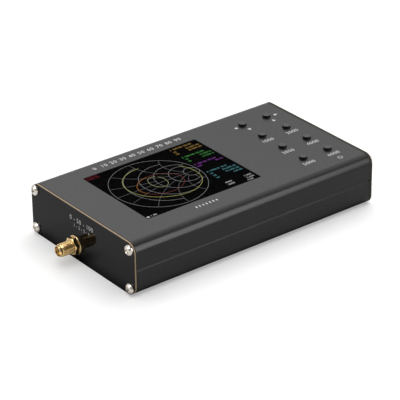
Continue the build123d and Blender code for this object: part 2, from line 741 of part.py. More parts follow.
def battery_lead(side):
    """One lead from the end of the cell down to its plug, as a strand of few sides."""
    start_z = (BATTERY_BOTTOM_Z + BATTERY_TOP_Z) / 2
    end_z = PLUG_BOTTOM_Z + PLUG_HEIGHT / 2
    y = LEAD_Y + side * LEAD_PITCH / 2
    points = [
        Vector(BATTERY_END_X, y, start_z),
        Vector(BATTERY_END_X + LEAD_STRAIGHT, y, start_z),
        Vector(PLUG_X - LEAD_STRAIGHT, y, end_z),
        Vector(PLUG_X, y, end_z),
    ]
    middle_run = points[2] - points[1]
    turn = middle_run.get_angle(Vector(1, 0, 0))
    shorter_run = min(LEAD_STRAIGHT, middle_run.length)
    bend = LEAD_BEND_SHARE * shorter_run / tan(radians(turn / 2))
    path = FilletPolyline(*points, radius=bend)
    strand = RegularPolygon(LEAD_RADIUS, LEAD_SIDES)
    return sweep(Plane(points[0], z_dir=(1, 0, 0)) * strand, path=path)


def battery_plug():
    x = PLUG_X, PLUG_X + PLUG_LENGTH
    return block(x, span(LEAD_Y, PLUG_WIDTH), (PLUG_BOTTOM_Z, PLUG_BOTTOM_Z + PLUG_HEIGHT))


def battery_socket():
    """Socket on the radio-frequency board, open towards the cell."""
    mouth = PLUG_X + PLUG_SHOWN
    hole_width = PLUG_WIDTH + 2 * PLUG_GAP
    hole_top = PLUG_BOTTOM_Z + PLUG_HEIGHT + PLUG_GAP
    width = hole_width + 2 * PLUG_SOCKET_WALL
    body = block((mouth, PLUG_SOCKET_END_X), span(LEAD_Y, width), (RADIO_TOP_Z, hole_top + PLUG_SOCKET_WALL))
    hole_x = mouth, PLUG_X + PLUG_LENGTH + PLUG_GAP
    return body - block(hole_x, span(LEAD_Y, hole_width), (PLUG_BOTTOM_Z - PLUG_GAP, hole_top))


def all_parts():
    """Every sub-part by its name, as one solid or a list of separate solids."""
    parts = {
        "top_shell": top_shell(),
        "bottom_shell": bottom_shell(),
        "front_end_plate": front_end_plate(),
        "rear_end_plate": rear_end_plate(),
        "front_plate_screws": plate_screws(FRONT_X - PLATE_THICKNESS, TO_FRONT),
        "rear_plate_screws": plate_screws(REAR_X + PLATE_THICKNESS, TO_REAR),
        "display_window": display_window(),
        "display_gasket": display_gasket(),
        "display_glass": display_glass(),
        "backlight_frame": backlight_frame(),
        "display_pads": display_pads(),
        "display_ribbon": display_ribbon(),
        "ribbon_socket": ribbon_socket(),
        "control_board": control_board(),
        "processor": processor(),
        "switch_bases": at_buttons(switch_base()),
        "switch_covers": at_buttons(switch_cover()),
        "switch_domes": at_buttons(switch_dome()),
        "radio_board": radio_board(),
        "radio_chips": radio_chips(),
        "shield_frame": shield_frame(),
        "shield_lid": shield_lid(),
        "link_header": link_header(),
        "link_socket": link_socket(),
        "link_pins": link_pins(),
        "port_body": port_body(),
        "port_insulator": port_insulator(),
        "port_contact": port_contact(),
        "port_washer": port_washer(),
        "port_nut": port_nut(),
        "charge_socket": charge_socket(),
        "charge_tongue": charge_tongue(),
        "battery_cell": battery_cell(),
        "battery_pad": battery_pad(),
        "battery_lead_positive": battery_lead(1),
        "battery_lead_negative": battery_lead(-1),
        "battery_plug": battery_plug(),
        "battery_socket": battery_socket(),
    }
    for number, cap in enumerate(at_buttons(button_cap()), start=1):
        parts[f"button_{number}"] = cap
    for number, stem in enumerate(at_buttons(plunger()), start=1):
        parts[f"plunger_{number}"] = stem
    return parts


def main():
    os.makedirs("parts", exist_ok=True)
    for name, piece in all_parts().items():
        shape = Compound(piece) if isinstance(piece, list) else piece
        export_step(shape, f"parts/{name}.step")


main()
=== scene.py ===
"""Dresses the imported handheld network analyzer: finer pieces, materials, stage, light and camera."""
import json
import math

import bmesh
import bpy
from mathutils import Matrix, Quaternion, Vector

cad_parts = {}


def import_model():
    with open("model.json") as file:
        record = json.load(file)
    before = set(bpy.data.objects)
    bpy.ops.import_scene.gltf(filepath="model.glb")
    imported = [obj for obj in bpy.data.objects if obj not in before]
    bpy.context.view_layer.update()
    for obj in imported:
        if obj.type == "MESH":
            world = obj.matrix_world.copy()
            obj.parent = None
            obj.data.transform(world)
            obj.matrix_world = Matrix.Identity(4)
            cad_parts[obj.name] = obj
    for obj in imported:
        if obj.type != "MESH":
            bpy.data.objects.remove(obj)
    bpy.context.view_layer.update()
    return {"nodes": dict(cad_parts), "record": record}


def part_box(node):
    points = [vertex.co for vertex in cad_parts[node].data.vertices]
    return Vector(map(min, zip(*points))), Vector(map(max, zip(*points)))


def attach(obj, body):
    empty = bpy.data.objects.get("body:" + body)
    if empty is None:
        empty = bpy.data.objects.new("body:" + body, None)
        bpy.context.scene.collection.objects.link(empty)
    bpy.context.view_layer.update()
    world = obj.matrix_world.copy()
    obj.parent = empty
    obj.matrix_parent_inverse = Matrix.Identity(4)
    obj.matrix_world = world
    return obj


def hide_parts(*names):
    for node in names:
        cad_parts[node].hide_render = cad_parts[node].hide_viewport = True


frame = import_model()
NODES = frame["nodes"]
RECORD = frame["record"]
MM = 0.001
HOUSING = "housing"

# Places read from the frame, in metres
FACE_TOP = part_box("top_shell")[1].z
PLATE_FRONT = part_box("front_end_plate")[0].x
PLATE_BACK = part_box("rear_end_plate")[1].x
PLATE_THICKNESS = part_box("front_end_plate")[1].x - PLATE_FRONT
NUT_LOW, NUT_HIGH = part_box("port_nut")
PORT_Y = (NUT_LOW.y + NUT_HIGH.y) / 2
PORT_Z = (NUT_LOW.z + NUT_HIGH.z) / 2
PORT_REACH = PLATE_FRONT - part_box("port_body")[0].x
PORT_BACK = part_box("port_insulator")[1].x - PLATE_FRONT
WASHER_THICKNESS = PLATE_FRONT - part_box("port_washer")[0].x
NUT_TOP = PLATE_FRONT - NUT_LOW.x
IMAGE_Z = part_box("display_glass")[1].z
BUTTONS = sum(name.startswith("button_") for name in NODES)

# Shapes, in millimetres
SCREW_HEAD_RADIUS = 2.65
SCREW_HEAD_HEIGHT = 1.7
SCREW_HEAD_RIM = 0.2
SCREW_CROWN = 0.9
SCREW_RADIUS = 1.48
SCREW_LENGTH = 9.0
SCREW_PITCH = 0.5
SCREW_THREAD_DEPTH = 0.27
CROSS_LENGTH = 2.7
CROSS_WIDTH = 0.6
CROSS_FLOOR = 0.7
CROSS_FLOOR_SHARE, CROSS_TOP_SHARE = 0.45, 1.15
CROSS_CLEAR = 0.3
CROSS_TAPER = 0.4
PORT_CREST = 3.175
PORT_PITCH = 25.4 / 36
THREAD_FLAT = 0.18
PORT_THREAD_DEPTH = 0.37
PORT_SOCKET_RADIUS = 2.35
PORT_SOCKET_DEPTH = 1.9
PORT_BORE_RADIUS = 2.05
PORT_LEAD = 1.1
PORT_GROOVE = 0.35
PORT_GROOVE_DEPTH = 0.22
PORT_TIP_BEVEL = 0.35
PORT_MOUTH_BEVEL = 0.08
PORT_SHOULDER = 8.5
PORT_SHOULDER_THICKNESS = 2.0
PORT_SHOULDER_SIDES = 4
PORT_LEG_WIDTH = 1.4
PORT_LEG_HEIGHT = 1.1
PORT_FIT_GAP = 0.02
INSULATOR_BEVEL = 0.12
CONTACT_RADIUS = 0.635
CONTACT_BORE = 0.47
CONTACT_BORE_DEPTH = 3.0
CONTACT_TAIL = 0.28
CONTACT_TAIL_LENGTH = 3.0
CONTACT_SLOT = 0.16
CONTACT_SLOT_DEPTH = 2.2
CONTACT_SLOT_REACH = 1.0
CONTACT_SLOT_CLEAR = 0.5
CONTACT_LEAD, CONTACT_LEAD_DEPTH = 0.05, 0.08
WASHER_RADIUS = 4.8
WASHER_EDGE = 0.12
NUT_FLATS = 8.0
NUT_SIDES = 6
NUT_TURN = 45
NUT_CHAMFER_RADIUS = 3.85
NUT_CHAMFER_DEPTH = 0.5
NUT_BORE_BEVEL = 0.25
CAP_EDGE = 0.1
CAP_SOCKET_RADIUS = 1.32
CAP_SOCKET_DEPTH = 1.6
PANE_GAP = 0.08
PANE_CORNER = 0.5
PANE_BEVEL = 0.08
ARC_LIFT = 0.012
LINE_LIFT = 0.02
TRACE_LIFT = 0.035
INK_LIFT = 0.012
LINE_WIDTH = 0.16
ARC_WIDTH = 0.14
TRACE_WIDTH = 0.22

# Counts and plain shares
ROUND_STEPS = 48
THREAD_ROWS = 10
SHANK_STEPS = 24
SHANK_ROWS = 6
CORNER_STEPS = 6
CHART_STEPS = 120
ARC_STEPS = 44
TRACE_STEPS = 90
FONT_STEPS = 3
FONT_CAP_SHARE = 0.73
LETTER_SPACE = 1.12
SMOOTH_ANGLE = math.radians(32)
WELD = 1e-7

# Turns of the screws' crosses, in degrees
FRONT_TWISTS = (20, 65, 48, 8)
REAR_TWISTS = (12, 50, 33, 71)

# Chart on the display, in millimetres, and its standard values
CHART_X, CHART_Y, CHART_RADIUS = -25.5, 1.75, 23.55
RESISTANCES = ((0.0, math.inf), (0.2, 1.0), (0.5, 2.0), (1.0, 5.0), (2.0, 5.0), (5.0, math.inf))
REACTANCES = ((0.2, 1.0), (0.5, 2.0), (1.0, 5.0), (2.0, 5.0), (5.0, 5.0))


# Mesh helpers

def spread(start, end, count):
    """Evenly spaced values from start to end."""
    return [start + (end - start) * step / (count - 1) for step in range(count)]


def finish_mesh(piece, flat=False):
    """Smooth shading with sharp edges kept."""
    mesh = piece.data
    mesh.polygons.foreach_set("use_smooth", [not flat] * len(mesh.polygons))
    if not flat:
        mesh.set_sharp_from_angle(angle=SMOOTH_ANGLE)
    mesh.update()


def new_piece(name, form, material=None, flat=False):
    """Object made from a bmesh, which is freed."""
    bmesh.ops.recalc_face_normals(form, faces=form.faces)
    mesh = bpy.data.meshes.new(name)
    form.to_mesh(mesh)
    form.free()
    piece = bpy.data.objects.new(name, mesh)
    bpy.context.scene.collection.objects.link(piece)
    if material:
        mesh.materials.append(material)
    finish_mesh(piece, flat)
    return piece


def dress(piece, slot, *nodes, body=HOUSING):
    """A piece that rides on a body and stands for CAD nodes, which it hides; the slot is not used."""
    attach(piece, body)
    if nodes:
        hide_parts(*nodes)
    return piece


def rings(form, rows, steps, place):
    """One ring of points per row; a row gives radius and height in millimetres at an angle."""
    made = []
    for row in rows:
        ring = []
        for step in range(steps):
            angle = 2 * math.pi * step / steps
            radius, height = row(angle)
            point = Vector((radius * math.cos(angle), radius * math.sin(angle), height)) * MM
            ring.append(form.verts.new(place @ point))
        made.append(ring)
    return made


def skin(form, made, hollow=False):
    """Faces between rings in turn; a hollow form closes on its first ring, others get end faces."""
    after = made[1:] + (made[:1] if hollow else [])
    for low, high in zip(made, after):
        for step, corner in enumerate(low):
            nearby = (step + 1) % len(low)
            form.faces.new((corner, low[nearby], high[nearby], high[step]))
    if not hollow:
        form.faces.new(made[0])
        form.faces.new(made[-1])


def plain_rows(profile):
    """Rows for a turned profile of radius and height."""
    return [lambda angle, pair=pair: pair for pair in profile]


def turned(form, profile, place, steps=ROUND_STEPS, hollow=False):
    """Adds a turned solid, or a ring that is hollow."""
    skin(form, rings(form, plain_rows(profile), steps, place), hollow)


def thread_rows(start, end, crest, depth, pitch, per_turn):
    """Rows of a helical thread that fades out over one pitch at both ends."""
    count = math.ceil((end - start) / pitch * per_turn)

    def row_at(height):
        fade = max(0.0, min(1.0, (height - start) / pitch, (end - height) / pitch))

        def row(angle):
            turn = (height / pitch - angle / (2 * math.pi)) % 1.0
            wave = (abs(2 * turn - 1) - THREAD_FLAT) / (1 - 2 * THREAD_FLAT)
            return crest - depth * fade * max(0.0, min(1.0, wave)), height

        return row

    return [row_at(start + (end - start) * step / count) for step in range(count + 1)]


def polygon_radius(angle, flats, sides):
    """Distance from the middle to the edge of a regular polygon of that width across flats."""
    sector = 2 * math.pi / sides
    return flats / 2 / math.cos((angle + sector / 2) % sector - sector / 2)


def box_form(form, low, high):
    """Box between two corners in metres."""
    middle = (Vector(low) + Vector(high)) / 2
    size = Vector(high) - Vector(low)
    place = Matrix.Translation(middle) @ Matrix.Diagonal((*size, 1.0))
    bmesh.ops.create_cube(form, size=1.0, matrix=place)


def cut(piece, tool):
    """Takes the tool's solid out of a piece and deletes the tool."""
    change = piece.modifiers.new("cut", "BOOLEAN")
    change.operation = "DIFFERENCE"
    change.solver = "EXACT"
    change.object = tool
    graph = bpy.context.evaluated_depsgraph_get()
    mesh = bpy.data.meshes.new_from_object(piece.evaluated_get(graph))
    piece.modifiers.clear()
    piece.data = mesh
    bpy.data.objects.remove(tool)
    finish_mesh(piece)


def put(form, mesh, place):
    """Adds a mesh to a form at a place."""
    moved = mesh.copy()
    moved.transform(place)
    form.from_mesh(moved)
    bpy.data.meshes.remove(moved)


def copies(name, source, places, material):
    """One piece that holds a copy of a source object at each place; the source is deleted."""
    form = bmesh.new()
    for place in places:
        put(form, source.data, place)
    bpy.data.objects.remove(source)
    return new_piece(name, form, material)


def ribbon(form, points, width, low, high):
    """Flat strip of a width in millimetres along points in millimetres, between two heights in metres."""
    last = len(points) - 1
    stations = []
    for index, point in enumerate(points):
        along = (points[min(index + 1, last)] - points[max(index - 1, 0)]).normalized()
        side = Vector((-along.y, along.x)) * width / 2
        left, right = point + side, point - side
        corners = []
        for spot, height in ((left, low), (right, low), (right, high), (left, high)):
            corners.append(form.verts.new((spot.x * MM, spot.y * MM, height)))
        stations.append(corners)
    skin(form, stations)


def lettering(form, text, size, place, thickness, align="CENTER"):
    """Adds raised numerals of a cap height in metres, laid out in the XY plane and taken to a place."""
    curve = bpy.data.curves.new("numerals", "FONT")
    curve.body = text
    curve.size = size / FONT_CAP_SHARE
    curve.align_x = align
    curve.space_character = LETTER_SPACE
    curve.align_y = "CENTER"
    curve.extrude = thickness / 2
    curve.resolution_u = FONT_STEPS
    holder = bpy.data.objects.new("numerals", curve)
    bpy.context.scene.collection.objects.link(holder)
    graph = bpy.context.evaluated_depsgraph_get()
    mesh = bpy.data.meshes.new_from_object(holder.evaluated_get(graph))
    closed = bmesh.new()
    closed.from_mesh(mesh)
    bmesh.ops.remove_doubles(closed, verts=closed.verts, dist=WELD)
    closed.to_mesh(mesh)
    closed.free()
    put(form, mesh, place)
    bpy.data.objects.remove(holder)
    bpy.data.curves.remove(curve)
    bpy.data.meshes.remove(mesh)


def polygon_plate(form, outline, low, high):
    """Flat plate with an outline in millimetres between two heights in metres."""
    lower = [form.verts.new((x * MM, y * MM, low)) for x, y in outline]
    upper = [form.verts.new((x * MM, y * MM, high)) for x, y in outline]
    skin(form, [lower, upper])


# Materials

def new_material(name, level=0.5, metal=0.0, **settings):
    """Node material and its Principled shader, with even values set on the shader's own sockets."""
    material = bpy.data.materials.new(name)
    material.use_nodes = True
    shader = material.node_tree.nodes["Principled BSDF"]
    shader.inputs["Specular IOR Level"].default_value = level
    shader.inputs["Metallic"].default_value = metal
    for socket, value in settings.items():
        shader.inputs[socket.replace("_", " ")].default_value = value
    return material, shader


def add(material, kind, inputs=None, **settings):
    """New node of a kind; an input is a value or another node's output."""
    node = material.node_tree.nodes.new("ShaderNode" + kind)
    for name, value in settings.items():
        setattr(node, name, value)
    for key, value in (inputs or {}).items():
        if isinstance(value, bpy.types.NodeSocket):
            material.node_tree.links.new(value, node.inputs[key])
        else:
            node.inputs[key].default_value = value
    return node


def plug(material, output, shader, socket):
    """Links an output to a shader's socket."""
    material.node_tree.links.new(output, shader.inputs[socket])


def math_node(material, operation, first, second=0.0):
    """Output of a Math node."""
    return add(material, "Math", {0: first, 1: second}, operation=operation).outputs[0]


def noise(material, scale, stretch=(1, 1, 1), detail=3.0):
    """Noise factor in object space; scale is in features per metre, and stretch weighs the axes."""
    coords = add(material, "TexCoord").outputs["Object"]
    mapped = add(material, "Mapping", {"Vector": coords, "Scale": [scale * share for share in stretch]})
    wanted = {"Vector": mapped.outputs["Vector"], "Scale": 1.0, "Detail": detail}
    return add(material, "TexNoise", wanted).outputs["Fac"]


def fitted(material, value, low, high, start=0.3, end=0.7):
    """A factor stretched to a range of values."""
    wanted = {"Value": value, "From Min": start, "From Max": end, "To Min": low, "To Max": high}
    return add(material, "MapRange", wanted).outputs["Result"]


def blended(material, factor, first, second):
    """Two colours mixed by a factor; each is a colour or an output."""
    mixer = add(material, "Mix", data_type="RGBA")
    sockets = [s for s in mixer.inputs if s.type == "RGBA"]
    for socket, colour in zip(sockets, (first, second)):
        if isinstance(colour, bpy.types.NodeSocket):
            material.node_tree.links.new(colour, socket)
        else:
            socket.default_value = (*colour, 1.0)
    plug(material, factor, mixer, 0)
    return next(s for s in mixer.outputs if s.type == "RGBA")


def bumped(material, shader, height, depth, strength=1.0):
    """Surface relief from a height factor; depth in metres."""
    bump = add(material, "Bump", {"Height": height, "Distance": depth, "Strength": strength})
    plug(material, bump.outputs["Normal"], shader, "Normal")


def edge_wear(material, reach):
    """Factor that rises on sharp edges, within a reach in metres, and breaks up in patches."""
    rounded = add(material, "Bevel", {"Radius": reach}, samples=WEAR_SAMPLES).outputs["Normal"]
    plain = add(material, "NewGeometry").outputs["Normal"]
    match = add(material, "VectorMath", {0: rounded, 1: plain}, operation="DOT_PRODUCT").outputs["Value"]
    edge = fitted(material, match, 1.0, 0.0, *WEAR_TURN)
    patches = fitted(material, noise(material, WEAR_PATCHES), 0.0, 1.0, *WEAR_BREAKS)
    return math_node(material, "MULTIPLY", edge, patches)


def shaded(colour, share):
    """A colour times a share."""
    return tuple(part * share for part in colour)


def around(value, share):
    """A value lowered and raised by a share of it."""
    return value * (1 - share), value * (1 + share)


def mottled(material, factor, colour, share):
    """A colour that a factor takes from a share darker to a share lighter."""
    return blended(material, factor, *(shaded(colour, tone) for tone in around(1, share)))


def grained(name, colour, rough, grain, depth, metal=0.0, level=0.5, contrast=0.2, stretch=(1, 1, 1)):
    """Surface with grain of so many features per metre in colour, roughness and relief."""
    material, shader = new_material(name, level, metal)
    cloud = noise(material, grain / CLOUD_SIZE, stretch)
    fine = noise(material, grain, stretch, FINE_DETAIL)
    plug(material, mottled(material, cloud, colour, contrast), shader, "Base Color")
    plug(material, fitted(material, fine, *around(rough, GRAIN_ROUGH_SHARE)), shader, "Roughness")
    bumped(material, shader, fine, depth)
    return material


def anodised():
    """Black anodised aluminium: fine blasted grain, faint draw lines along X, edges rubbed a little."""
    material, shader = new_material("anodised_aluminium", level=ANODISED_LEVEL)
    streak = fitted(material, noise(material, STREAKS, STREAK_STRETCH), 0.0, 1.0)
    grain = noise(material, BLAST_GRAIN, detail=FINE_DETAIL)
    tone = mottled(material, streak, ANODISED, STREAK_SHARE)
    worn = math_node(material, "MULTIPLY", edge_wear(material, WEAR_REACH), WEAR_SHARE)
    plug(material, blended(material, worn, tone, ANODISED_WORN), shader, "Base Color")
    plug(material, fitted(material, grain, *ANODISED_ROUGH), shader, "Roughness")
    bumped(material, shader, grain, BLAST_DEPTH, BLAST_STRENGTH)
    return material


def laminate(name, bands):
    """Circuit-board plate: gloss black mask over a faint weave, and an edge in bands of colour."""
    material, shader = new_material(name, level=LAMINATE_LEVEL)
    coords = add(material, "TexCoord")
    spot = add(material, "SeparateXYZ", {0: coords.outputs["Object"]}).outputs
    facing = add(material, "SeparateXYZ", {0: coords.outputs["Normal"]}).outputs["X"]
    face = math_node(material, "GREATER_THAN", math_node(material, "ABSOLUTE", facing), FACE_TURN)
    middle = (PLATE_BACK - PLATE_FRONT - PLATE_THICKNESS) / 2
    offset = math_node(material, "SUBTRACT", math_node(material, "ABSOLUTE", spot["X"]), middle)
    depth = math_node(material, "DIVIDE", math_node(material, "ABSOLUTE", offset), PLATE_THICKNESS / 2)
    layers = add(material, "ValToRGB", {"Fac": depth})
    ramp = layers.color_ramp
    ramp.elements[0].position = bands[0][0]
    ramp.elements[0].color = (*bands[0][1], 1.0)
    ramp.elements[1].position = bands[-1][0]
    ramp.elements[1].color = (*bands[-1][1], 1.0)
    for position, colour in bands[1:-1]:
        ramp.elements.new(position).color = (*colour, 1.0)
    fibres = fitted(material, noise(material, FIBRES, FIBRE_STRETCH), *FIBRE_TONES)
    wanted = {0: layers.outputs["Color"], "Scale": fibres}
    edge = add(material, "VectorMath", wanted, operation="SCALE").outputs[0]
    mask = mottled(material, noise(material, MASK_CLOUDS), LAMINATE_MASK, MASK_SHARE)
    plug(material, blended(material, face, edge, mask), shader, "Base Color")
    gloss = fitted(material, noise(material, GLOSS_CLOUDS), *MASK_ROUGH)
    rough = add(material, "Mix", {"Factor": face, "A": EDGE_ROUGH, "B": gloss}).outputs["Result"]
    plug(material, rough, shader, "Roughness")
    pitch = 2 * math.pi / WEAVE_PITCH
    across = math_node(material, "SINE", math_node(material, "MULTIPLY", spot["Y"], pitch))
    up = math_node(material, "SINE", math_node(material, "MULTIPLY", spot["Z"], pitch))
    weave = math_node(material, "MULTIPLY", across, up)
    bumped(material, shader, weave, WEAVE_DEPTH, WEAVE_STRENGTH)
    return material


def bright_metal(name, colour, rough, tarnish):
    """Plated metal with fine polishing marks and a little tarnish."""
    material, shader = new_material(name, metal=1.0)
    cloud = fitted(material, noise(material, TARNISH_CLOUDS), 0.0, 1.0)
    plug(material, blended(material, cloud, colour, tarnish), shader, "Base Color")
    marks = noise(material, POLISH_MARKS, POLISH_STRETCH, FINE_DETAIL)
    plug(material, fitted(material, marks, *around(rough, POLISH_ROUGH_SHARE)), shader, "Roughness")
    bumped(material, shader, marks, POLISH_DEPTH, POLISH_STRENGTH)
    return material


def clear_pane():
    """Clear coated pane without mirror gloss, with faint smears in how much of it shows."""
    tint = (*PANE_TINT, 1.0)
    material, shader = new_material("window_clear", level=0.0, Base_Color=tint, Roughness=PANE_ROUGH)
    plug(material, fitted(material, noise(material, PANE_SMEARS), *PANE_SHOWN), shader, "Alpha")
    return material


def glowing(name, colour):
    """Lit display dots: the colour falls off between the dots of a fine square grid."""
    dark = (0.0, 0.0, 0.0, 1.0)
    material, shader = new_material(name, level=0.0, Base_Color=dark, Emission_Strength=1.0)
    coords = add(material, "TexCoord").outputs["Object"]
    spot = add(material, "SeparateXYZ", {0: coords}).outputs
    lit = []
    for axis in ("X", "Y"):
        place = math_node(material, "FRACT", math_node(material, "DIVIDE", spot[axis], PIXEL_PITCH))
        lit.append(math_node(material, "GREATER_THAN", place, PIXEL_DARK_SHARE))
    dot = math_node(material, "MULTIPLY", *lit)
    shown = blended(material, dot, shaded(colour, PIXEL_DARK_LEVEL), colour)
    plug(material, shown, shader, "Emission Color")
    return material


# Colours, as linear values
ANODISED = (0.0130, 0.0130, 0.0133)
ANODISED_WORN = (0.05, 0.05, 0.052)
ANODISED_LEVEL = 0.17
ANODISED_ROUGH = (0.25, 0.29)
LAMINATE_MASK = (0.0040, 0.0039, 0.0038)
LAMINATE_LEVEL = 0.07
LAMINATE_BANDS = (
    (0.0, (0.43, 0.36, 0.26)),
    (0.30, (0.38, 0.30, 0.20)),
    (0.52, (0.10, 0.05, 0.022)),
    (0.78, (0.02, 0.013, 0.009)),
)
REAR_BANDS = (
    (0.0, (0.060, 0.048, 0.034)),
    (0.4, (0.035, 0.028, 0.020)),
    (0.8, (0.012, 0.010, 0.009)),
)
NICKEL_ROUGH = 0.2
NICKEL = (0.64, 0.60, 0.55)
NICKEL_DULL = (0.52, 0.48, 0.43)
GOLD_ROUGH = 0.15
GOLD = (0.76, 0.56, 0.29)
GOLD_DULL = (0.54, 0.37, 0.15)
GOLD_PALE = (0.76, 0.64, 0.42)
GOLD_PALE_DULL = (0.60, 0.48, 0.29)
PANE_TINT = (0.003, 0.003, 0.0035)
PANE_ROUGH = 0.08
PANE_SHOWN = (0.03, 0.07)
PANE_SMEARS = 90.0
PIXEL_PITCH = 0.2025 * MM
PIXEL_DARK_SHARE = 0.14
PIXEL_DARK_LEVEL = 0.6
SCREEN_BLACK = (0.001, 0.001, 0.0012)
INK_WHITE = (0.55, 0.55, 0.55)
CAP_BLACK = (0.0025, 0.0025, 0.0026)
GLOW = {
    "grid": (0.33, 0.33, 0.33),
    "arcs": (0.21, 0.21, 0.22),
    "yellow": (0.46, 0.45, 0.14),
    "olive": (0.36, 0.37, 0.20),
    "orange": (0.46, 0.17, 0.04),
    "red": (0.20, 0.045, 0.04),
    "amber": (0.44, 0.28, 0.08),
    "green": (0.08, 0.36, 0.09),
    "violet": (0.26, 0.06, 0.36),
    "cyan": (0.11, 0.33, 0.36),
    "white": (0.62, 0.62, 0.62),
    "maroon": (0.20, 0.02, 0.03),
}

# Texture of the finishes: features per metre, depths in metres, and shares
FINE_DETAIL = 2.0
CLOUD_SIZE = 12
GRAIN_ROUGH_SHARE = 0.15
WEAR_SAMPLES = 4
WEAR_TURN = (0.75, 0.98)
WEAR_PATCHES, WEAR_BREAKS = 500.0, (0.4, 0.7)
WEAR_REACH, WEAR_SHARE = 0.25 * MM, 0.2
STREAKS, STREAK_STRETCH, STREAK_SHARE = 900.0, (0.03, 1, 1), 0.04
BLAST_GRAIN, BLAST_DEPTH, BLAST_STRENGTH = 5200.0, 0.004 * MM, 0.6
FACE_TURN = 0.7
FIBRES, FIBRE_STRETCH, FIBRE_TONES = 9000.0, (1, 0.12, 0.12), (0.75, 1.15)
MASK_CLOUDS, MASK_SHARE = 160.0, 0.2
GLOSS_CLOUDS, MASK_ROUGH = 700.0, (0.05, 0.09)
EDGE_ROUGH = 0.6
WEAVE_PITCH, WEAVE_DEPTH, WEAVE_STRENGTH = 0.9 * MM, 0.0006 * MM, 0.5
TARNISH_CLOUDS = 420.0
POLISH_MARKS, POLISH_STRETCH, POLISH_ROUGH_SHARE = 6000.0, (1, 0.25, 1), 0.2
POLISH_DEPTH, POLISH_STRENGTH = 0.0015 * MM, 0.4
SCREEN_GRAIN = {"rough": 0.25, "grain": 4000.0, "depth": 0.0005 * MM, "level": 0.001}
CAP_GRAIN = {"rough": 0.3, "grain": 5000.0, "depth": 0.003 * MM, "level": 0.28}
INK_GRAIN = {"rough": 0.55, "grain": 6000.0, "depth": 0.002 * MM}
STEEL_LINES = (0.05, 1, 1)

OWN_FINISH = {
    "anodised_case": anodised(),
    "plate_laminate": laminate("plate_laminate", LAMINATE_BANDS),
    "screw_nickel": bright_metal("screw_nickel", NICKEL, NICKEL_ROUGH, NICKEL_DULL),
    "window_clear": clear_pane(),
    "display_face": grained("display_face", SCREEN_BLACK, **SCREEN_GRAIN),
    "contact_gold": bright_metal("contact_gold", GOLD, GOLD_ROUGH, GOLD_DULL),
    "button_black": grained("button_black", CAP_BLACK, **CAP_GRAIN),
}
CLASS_FINISH = {
    "matte_plastic": {"rough": 0.5, "grain": 3500.0, "depth": 0.004 * MM},
    "gloss_plastic": {"rough": 0.2, "grain": 2500.0, "depth": 0.001 * MM},
    "rubber": {"rough": 0.8, "grain": 2600.0, "depth": 0.03 * MM},
    "brushed_steel": {
        "rough": 0.32, "grain": 4200.0, "depth": 0.002 * MM, "metal": 1.0, "stretch": STEEL_LINES,
    },
    "aluminium": {"rough": 0.35, "grain": 2200.0, "depth": 0.01 * MM, "metal": 1.0},
}


def finishes():
    """One node material for each of the record's slots."""
    made = {}
    for entry in RECORD["materials"]:
        slot = entry["slot"]
        made[slot] = OWN_FINISH.get(slot)
        if not made[slot]:
            made[slot] = grained(slot, entry["base_color"], **CLASS_FINISH[entry["class"]])
    return made


FINISH = finishes()
INK = grained("ink_white", INK_WHITE, **INK_GRAIN)
PALE_GOLD = bright_metal("pale_gold", GOLD_PALE, GOLD_ROUGH, GOLD_PALE_DULL)
GLOWING = {name: glowing("glow_" + name, colour) for name, colour in GLOW.items()}

for entry in RECORD["subparts"]:
    slots = NODES[entry["node"]].data.materials
    slots.clear()
    slots.append(FINISH[entry["material_slot"]])
NODES["rear_end_plate"].data.materials[0] = laminate("rear_laminate", REAR_BANDS)


# Screws of both end plates

def screw_source():
    """Domed cross-head screw along Z, with the underside of its head at height 0."""
    form = bmesh.new()
    rows = thread_rows(-SCREW_LENGTH, 0.0, SCREW_RADIUS, SCREW_THREAD_DEPTH, SCREW_PITCH, SHANK_ROWS)
    crown = [(SCREW_HEAD_RADIUS, 0.0), (SCREW_HEAD_RADIUS, SCREW_HEAD_RIM)]
    for step in range(1, CORNER_STEPS * 2):
        turn = math.pi / 2 * step / (CORNER_STEPS * 2)
        height = SCREW_HEAD_RIM + (SCREW_HEAD_HEIGHT - SCREW_HEAD_RIM) * math.sin(turn)
        crown.append((SCREW_HEAD_RADIUS * math.cos(turn) ** SCREW_CROWN, height))
    rows += plain_rows(crown)
    skin(form, rings(form, rows, SHANK_STEPS * 2, Matrix.Identity(4)))
    screw = new_piece("screw_source", form)
    ends = ((CROSS_FLOOR_SHARE, CROSS_FLOOR), (CROSS_TOP_SHARE, SCREW_HEAD_HEIGHT + CROSS_CLEAR))
    for turn in (0.0, math.pi / 2):
        turned_by = Matrix.Rotation(turn, 4, "Z")
        cross = bmesh.new()
        loops = []
        for share, height in ends:
            reach = CROSS_LENGTH / 2 * share
            breadth = CROSS_WIDTH / 2 * (1 - CROSS_TAPER + CROSS_TAPER * share)
            spots = ((-reach, -breadth), (reach, -breadth), (reach, breadth), (-reach, breadth))
            corners = [Vector((x, y, height)) * MM for x, y in spots]
            loops.append([cross.verts.new(turned_by @ corner) for corner in corners])
        skin(cross, loops)
        cut(screw, new_piece("screw_cross", cross))
    return screw


def plate_screws(name, node, outer_x, turn, twists):
    """Screws at the corners of an end plate; turn swings them from Z to X, in degrees."""
    low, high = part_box(node)
    reach = SCREW_HEAD_RADIUS * MM
    spots = [(y, z) for y in (low.y + reach, high.y - reach) for z in (low.z + reach, high.z - reach)]
    facing = Matrix.Rotation(math.radians(turn), 4, "Y")
    places = []
    for (y, z), twist in zip(spots, twists):
        spin = Matrix.Rotation(math.radians(twist), 4, "Z")
        places.append(Matrix.Translation((outer_x, y, z)) @ facing @ spin)
    piece = copies(name, screw_source(), places, FINISH["screw_nickel"])
    dress(piece, "screw_nickel", node)


